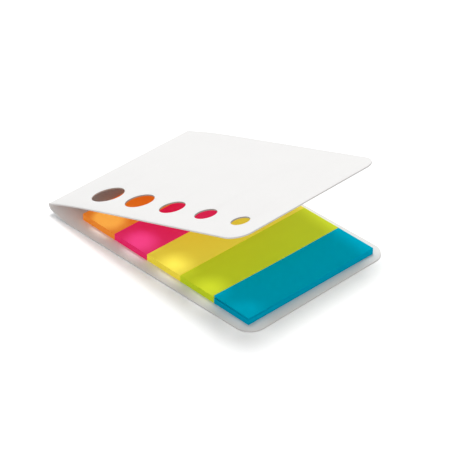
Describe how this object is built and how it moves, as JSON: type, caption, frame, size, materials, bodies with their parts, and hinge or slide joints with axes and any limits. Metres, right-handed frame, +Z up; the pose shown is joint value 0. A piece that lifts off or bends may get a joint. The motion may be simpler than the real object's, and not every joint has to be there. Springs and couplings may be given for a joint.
{
  "type": "sticky index tabs",
  "caption": "Folded white card cover with a row of round windows, half open over pads of coloured paper index tabs glued side by side on its base.",
  "frame": {"origin": "middle of the part's footprint, on the surface that the base lies on", "axes": "+X from the fold to the free edges, +Y from the front, where the windows are, to the back, +Z up"},
  "size_m": [0.076, 0.051, 0.0274],
  "materials": {
    "card": "smooth matte",
    "orange_paper": "matte",
    "pink_paper": "matte",
    "yellow_paper": "matte",
    "green_paper": "matte",
    "blue_paper": "matte"
  },
  "bodies": {
    "root": {"folded_card": "card", "orange_tabs": "orange_paper", "pink_tabs": "pink_paper", "yellow_tabs": "yellow_paper", "green_tabs": "green_paper", "blue_tabs": "blue_paper"}
  },
  "joints": []
}
